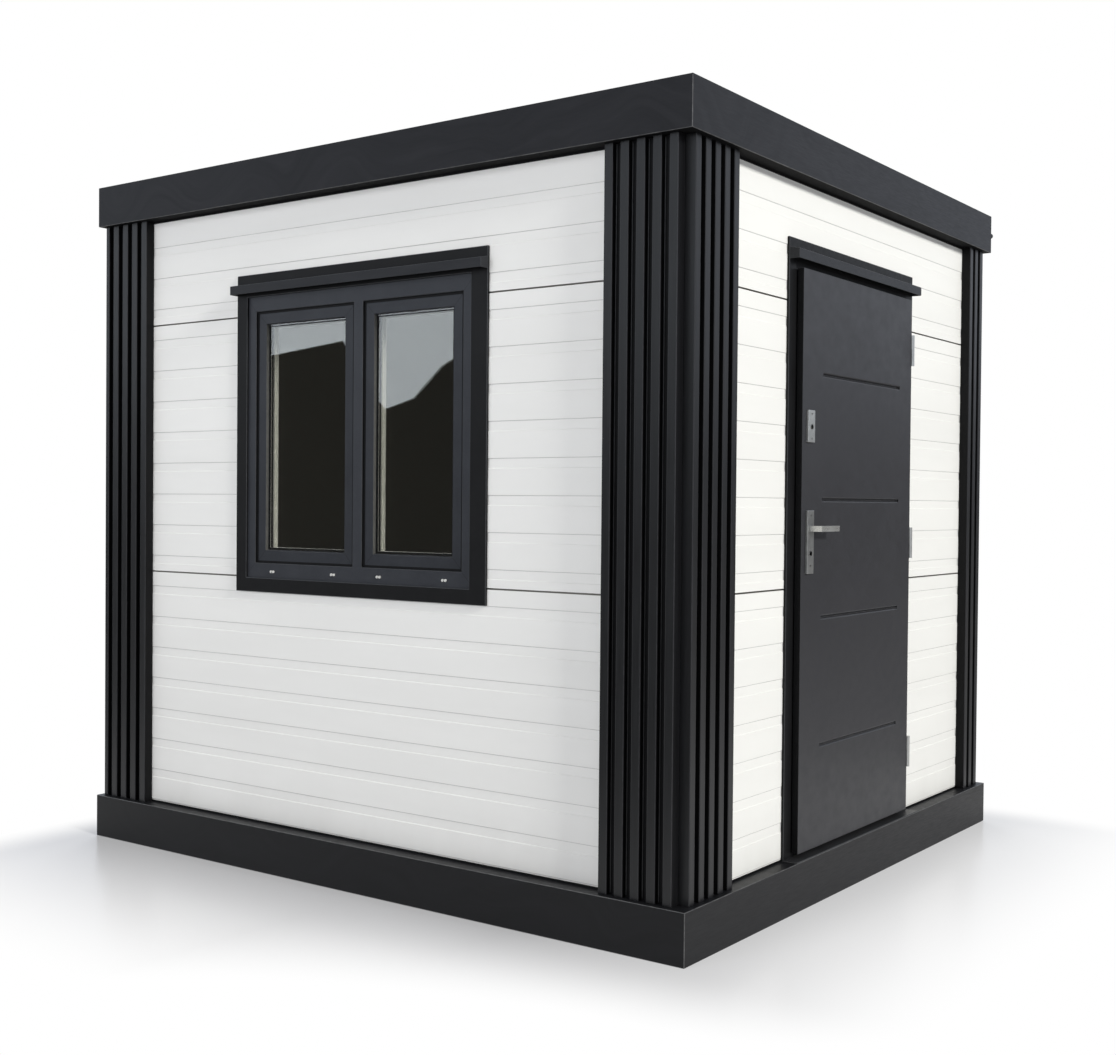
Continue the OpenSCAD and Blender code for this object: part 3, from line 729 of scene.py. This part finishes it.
def hairline(start, end, front):
    (x0, z0), (x1, z1) = start, end
    across = Vector((z1 - z0, 0, x0 - x1)).normalized() * seams["wide"] / 2
    first = Vector((x0, front - seams["lift"], z0))
    last = Vector((x1, front - seams["lift"], z1))
    return [tuple(first - across), tuple(last - across), tuple(last + across), tuple(first + across)]


def cornerLines(low, high, begin, end, front):
    lines = []
    for x, sx in ((low[0], 1), (high[0], -1)):
        for z, sz in ((low[1], 1), (high[1], -1)):
            lines.append(hairline((x + sx * begin, z + sz * begin), (x + sx * end, z + sz * end), front))
    return lines


def makeSeams():
    s = seams
    low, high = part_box("window_frame")
    quads = cornerLines((low.x, low.z), (high.x, high.z), s["frameFrom"], s["frameTo"], low.y)
    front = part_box("window_sashes")[0].y
    pad = glazing["sashFace"]
    for small, large in lightBoxes():
        sashLow = (small[0] - pad, small[2] - pad)
        sashHigh = (large[0] + pad, large[2] + pad)
        quads += cornerLines(sashLow, sashHigh, s["sashFrom"], pad, front)
    low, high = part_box("window_surround")
    foot = low.z + s["trimFrom"]
    top = low.z + s["trimUp"]
    quads.append(hairline((low.x + s["trimFrom"], foot), (low.x + s["trimLeft"], top), low.y))
    quads.append(hairline((high.x - s["trimFrom"], foot), (high.x - s["trimRight"], top), low.y))
    newPiece("mitre_seams", quadMesh("mitre_seams", quads, "gasket"), "cabin", "window_metal")
    print("seams:", len(quads))


makeSeams()


# geometry nodes: a small turned head, or a pair of them, on every point
def headTree(name):
    tree = bpy.data.node_groups.new(name, "GeometryNodeTree")
    face = tree.interface
    face.new_socket("Geometry", in_out="INPUT", socket_type="NodeSocketGeometry")
    for title in ("Radius", "Height", "Apart"):
        face.new_socket(title, in_out="INPUT", socket_type="NodeSocketFloat")
    face.new_socket("Turn", in_out="INPUT", socket_type="NodeSocketVector")
    face.new_socket("Finish", in_out="INPUT", socket_type="NodeSocketMaterial")
    face.new_socket("Geometry", in_out="OUTPUT", socket_type="NodeSocketGeometry")
    add = tree.nodes.new
    link = tree.links.new
    given = add("NodeGroupInput")
    result = add("NodeGroupOutput")
    lobes = add("GeometryNodeMeshLine")
    lobes.mode = "OFFSET"
    lobes.count_mode = "TOTAL"
    lobes.inputs["Count"].default_value = 2
    half = add("ShaderNodeMath")
    half.operation = "MULTIPLY"
    half.inputs[1].default_value = -0.5
    offset = add("ShaderNodeCombineXYZ")
    start = add("ShaderNodeCombineXYZ")
    head = add("GeometryNodeMeshCylinder")
    head.inputs["Vertices"].default_value = 20
    pair = add("GeometryNodeInstanceOnPoints")
    spread = add("GeometryNodeInstanceOnPoints")
    euler = add("FunctionNodeEulerToRotation")
    real = add("GeometryNodeRealizeInstances")
    flat = add("GeometryNodeSetShadeSmooth")
    flat.inputs["Shade Smooth"].default_value = False
    coat = add("GeometryNodeSetMaterial")
    link(given.outputs["Apart"], offset.inputs["X"])
    link(given.outputs["Apart"], half.inputs[0])
    link(half.outputs[0], start.inputs["X"])
    link(start.outputs[0], lobes.inputs["Start Location"])
    link(offset.outputs[0], lobes.inputs["Offset"])
    link(given.outputs["Radius"], head.inputs["Radius"])
    link(given.outputs["Height"], head.inputs["Depth"])
    link(lobes.outputs["Mesh"], pair.inputs["Points"])
    link(head.outputs["Mesh"], pair.inputs["Instance"])
    link(given.outputs["Geometry"], spread.inputs["Points"])
    link(pair.outputs["Instances"], spread.inputs["Instance"])
    link(given.outputs["Turn"], euler.inputs["Euler"])
    link(euler.outputs["Rotation"], spread.inputs["Rotation"])
    link(spread.outputs["Instances"], real.inputs["Geometry"])
    link(real.outputs["Geometry"], flat.inputs["Geometry"])
    link(flat.outputs["Geometry"], coat.inputs["Geometry"])
    link(given.outputs["Finish"], coat.inputs["Material"])
    link(coat.outputs["Geometry"], result.inputs["Geometry"])
    return tree


headNodes = headTree("smallHeads")


def heads(name, points, body, slot, finish, turn, **sizes):
    mesh = bpy.data.meshes.new(name)
    mesh.from_pydata(points, [], [])
    holder = bpy.data.objects.new(name, mesh)
    bpy.context.scene.collection.objects.link(holder)
    grow = holder.modifiers.new("heads", "NODES")
    grow.node_group = headNodes
    wanted = {"Turn": turn, "Finish": finishes[finish], **{k.capitalize(): v for k, v in sizes.items()}}
    for socket in headNodes.interface.items_tree:
        if socket.in_out == "INPUT" and socket.name in wanted:
            grow[socket.identifier] = wanted[socket.name]
    shown = holder.evaluated_get(bpy.context.evaluated_depsgraph_get())
    made = bpy.data.meshes.new_from_object(shown)
    bpy.data.objects.remove(holder)
    newPiece(name, made, body, slot)


# drain caps on the bottom rail: places along the frame as shares of its width
drains = {"across": (0.140, 0.415, 0.611, 0.876), "height": 0.036, "radius": 0.0048, "depth": 0.004,
          "apart": 0.0125}
# screws and cylinders of the two outer plates
keyholes = {"cylinders": (1.681, 1.238), "cylinderRadius": 0.0085, "cylinderHeight": 0.003,
            "screws": (1.195, 1.372, 1.640, 1.726), "screwRadius": 0.0032, "screwHeight": 0.0016,
            "slotHalfWide": 0.0009, "slotHalfHigh": 0.0045, "slotFrom": 0.0012, "slotTo": 0.0018}


def makeFittings():
    d = drains
    low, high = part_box("window_frame")
    wide = high.x - low.x
    points = [(low.x + a * wide, low.y - d["depth"] / 2, low.z + d["height"]) for a in d["across"]]
    heads("drain_caps", points, "cabin", "panel_paint", "drainPlastic", (math.pi / 2, 0, 0),
          radius=d["radius"], height=d["depth"], apart=d["apart"])
    k = keyholes
    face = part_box("door_plates")[1].x
    y = middle("door_plates").y
    for name, kind in (("plate_screws", "screw"), ("cylinder_faces", "cylinder")):
        points = [(face, y, z) for z in k[kind + "s"]]
        heads(name, points, "door", "fitting_steel", "brushedSteel", (0, math.pi / 2, 0),
              radius=k[kind + "Radius"], height=k[kind + "Height"], apart=0.0)
    # black boxes on the cylinders for the keyways: painted shade in the key slots
    slots = [((face + k["slotFrom"], y - k["slotHalfWide"], z - k["slotHalfHigh"]),
              (face + k["slotTo"], y + k["slotHalfWide"], z + k["slotHalfHigh"])) for z in k["cylinders"]]
    newPiece("key_slots", boxes("key_slots", slots, "keyBlack"), "door", "spout_plastic")
    print("small fittings on window and door")


makeFittings()

# stage: pale floor that goes to white away from the part, and a world that is white where it is seen
stage = {
    "floor": (208, 208, 211), "rough": 0.22, "gloss": 0.3, "start": 0.15, "corner": 0.36, "far": 1.08,
    "lean": 1.3, "sides": {"right": 1.4, "left": 3.2, "front": 0.92, "rear": 3.5},
    "size": 60, "down": 0.001, "sky": 0.14, "reflected": (0.84, 0.90, 1.0, 1),
}
# cards for the reflections: through says whether a look through the glass meets them too
cards = {
    "pale_card": {"level": 2.7, "tint": (0.86, 0.93, 1.0, 1),
                  "points": [(-30, -9.5, 0), (6, -9.5, 0), (6, -9.5, 4.2), (-30, -9.5, 4.2)]},
    "dark_card": {"level": 0.09, "tint": (1.0, 0.97, 0.86, 1),
                  "points": [(-30, -9, 0), (-30, -9, 3.0), (-9.4, -9, 3.05), (-7.75, -9, 3.2),
                             (-7.45, -9, 2.75), (-7.1, -9, 2.42), (-6.7, -9, 2.52), (-6.3, -9, 2.85),
                             (-5.6, -9, 3.15), (-4.0, -9, 3.0), (6, -9, 2.6), (6, -9, 0)]},
    "horizon_card": {"level": 0.12, "through": False,
                     "points": [(3, 15, 0), (20, 8, 0), (20, 8, 2.9), (3, 15, 2.9)]},
    "ground_card": {"level": 0.42, "through": False,
                    "points": [(1.6, 2.2, 0.002), (20, 2.2, 0.002), (20, 15, 0.002), (1.6, 15, 0.002)]},
    "apron_card": {"level": 0.22, "through": False,
                   "points": [(-16, -9, 0.002), (3, -9, 0.002), (3, -2.6, 0.002), (-16, -2.6, 0.002)]},
}
# soft square lamps
lamps = {
    "key": {"place": (31.5, -6.0, 16.4), "aim": (1.4, 0.0, 1.2), "size": 5.5, "power": 10300.0,
            "tint": (1.0, 0.99, 0.955)},
    "side": {"place": (15.0, -2.0, 0.9), "aim": (1.4, 0.0, 0.6), "size": 5.0, "power": 60.0,
             "tint": (1.0, 0.99, 0.955)},
    "fill": {"place": (-0.6, -10.4, 4.2), "aim": (0.0, -1.3, 1.5), "size": 6.0, "power": 450.0,
             "tint": (0.97, 0.975, 1.0)},
    "rear": {"place": (-9.0, 9.5, 6.0), "aim": (0.0, 0.0, 1.2), "size": 7.0, "power": 1000.0,
             "tint": (1.0, 1.0, 1.0)},
}


def stagePiece(name, points, material):
    mesh = bpy.data.meshes.new(name)
    mesh.from_pydata(points, [], [tuple(range(len(points)))])
    mesh.materials.append(material)
    piece = bpy.data.objects.new(name, mesh)
    bpy.context.scene.collection.objects.link(piece)
    return piece


def glow(name, level, tint=(1, 1, 1, 1)):
    f = Finish(name)
    f.surface(baseColor=(0, 0, 0, 1), roughness=1.0)
    f.gloss(0.0)
    f.shader.inputs["Emission Color"].default_value = tint
    f.shader.inputs["Emission Strength"].default_value = level
    return f.material


def floorFinish():
    s = stage
    f = Finish("studioFloor")
    low, high = cadBox
    across = f.place("X")
    deep = f.place("Y")
    outs = {"right": across - high[0], "left": low[0] - across,
            "front": low[1] - deep, "rear": deep - high[1]}
    reach = 0.0
    for side, out in outs.items():
        scale = s["sides"][side]
        if side == "front":  # the shadow narrows towards the near corner
            scale = scale * (1.0 + f.ramp(across, 0.1, high[0]) * s["lean"])
        away = (out * scale).math("MAXIMUM")
        reach = away * away + reach
    start = f.ramp(across, high[0] - 0.7, high[0] + 0.2) * s["corner"] + s["start"]
    fade = f.node("ShaderNodeMapRange", {"clamp": True, "interpolation_type": "SMOOTHSTEP"},
                  {"Value": reach ** 0.5, "From Max": s["far"], "To Min": start})
    seen = (f.ray("Camera") + f.ray("Glossy") + f.ray("Transmission")).math("MINIMUM", 1.0)
    white = f.node("ShaderNodeEmission", {}, {"Color": (1, 1, 1, 1), "Strength": 1.0})
    f.surface(baseColor=shade(*s["floor"]), roughness=f.noise(f.spot(), 1.5, 3.0) * 0.03 + s["rough"])
    f.gloss(s["gloss"])
    shaded = Sock(f, f.shader.outputs[0])
    both = f.node("ShaderNodeMixShader", {}, {0: fade * seen, 1: shaded, 2: white})
    f.plug(f.tree.nodes["Material Output"].inputs["Surface"], both)
    return f.material


def makeWorld():
    s = stage
    world = bpy.data.worlds.new("studioWorld")
    bpy.context.scene.world = world
    f = Finish("studioWorld", world)
    glossy = f.ray("Glossy")
    seen = f.ray("Camera").math("MAXIMUM", glossy.math("MAXIMUM", f.ray("Transmission")))
    f.surface(color=f.mix(glossy, (1, 1, 1, 1), s["reflected"]), strength=seen * (1 - s["sky"]) + s["sky"])


def makeStage():
    wide = stage["size"]
    down = -stage["down"]
    corners = [(-wide, -wide, down), (wide, -wide, down), (wide, wide, down), (-wide, wide, down)]
    stagePiece("studio_floor", corners, floorFinish())
    for name, c in cards.items():
        card = stagePiece(name, c["points"], glow(name, c["level"], c.get("tint", (1, 1, 1, 1))))
        card.visible_camera = False
        card.visible_diffuse = False
        card.visible_shadow = False
        card.visible_transmission = c.get("through", True)
    for name, c in lamps.items():
        light = bpy.data.lights.new(name, "AREA")
        light.size = c["size"]
        light.energy = c["power"]
        light.color = c["tint"]
        lamp = bpy.data.objects.new(name, light)
        bpy.context.scene.collection.objects.link(lamp)
        lamp.location = c["place"]
        lamp.rotation_euler = (Vector(c["aim"]) - Vector(c["place"])).to_track_quat("-Z", "Y").to_euler()
        lamp.visible_glossy = False
    print("stage: floor,", len(cards), "cards,", len(lamps), "lamps")


makeWorld()
makeStage()

# camera where the photograph was taken from, for a 1116 x 1055 image
view = {"place": (3.6585, -5.0413, 1.4053), "yaw": 35.957, "pitch": -0.952, "roll": -0.493, "focal": 1441.1,
        "wide": 1116, "sensor": 36.0, "far": 200.0}


def makeCamera():
    yaw, pitch, roll = (math.radians(view[k]) for k in ("yaw", "pitch", "roll"))
    ahead = Vector((-math.sin(yaw) * math.cos(pitch), math.cos(yaw) * math.cos(pitch), math.sin(pitch)))
    level = Vector((math.cos(yaw), math.sin(yaw), 0))
    down = ahead.cross(level)
    right = math.cos(roll) * level + math.sin(roll) * down
    up = math.sin(roll) * level - math.cos(roll) * down
    lens = bpy.data.cameras.new("view")
    lens.sensor_width = view["sensor"]
    lens.lens = view["sensor"] * view["focal"] / view["wide"]
    lens.clip_end = view["far"]
    camera = bpy.data.objects.new("view", lens)
    bpy.context.scene.collection.objects.link(camera)
    turn = Matrix((right, up, -ahead)).transposed().to_4x4()
    camera.matrix_world = Matrix.Translation(view["place"]) @ turn
    bpy.context.scene.camera = camera
    print("camera set")


makeCamera()
bpy.context.scene.view_settings.view_transform = "Standard"
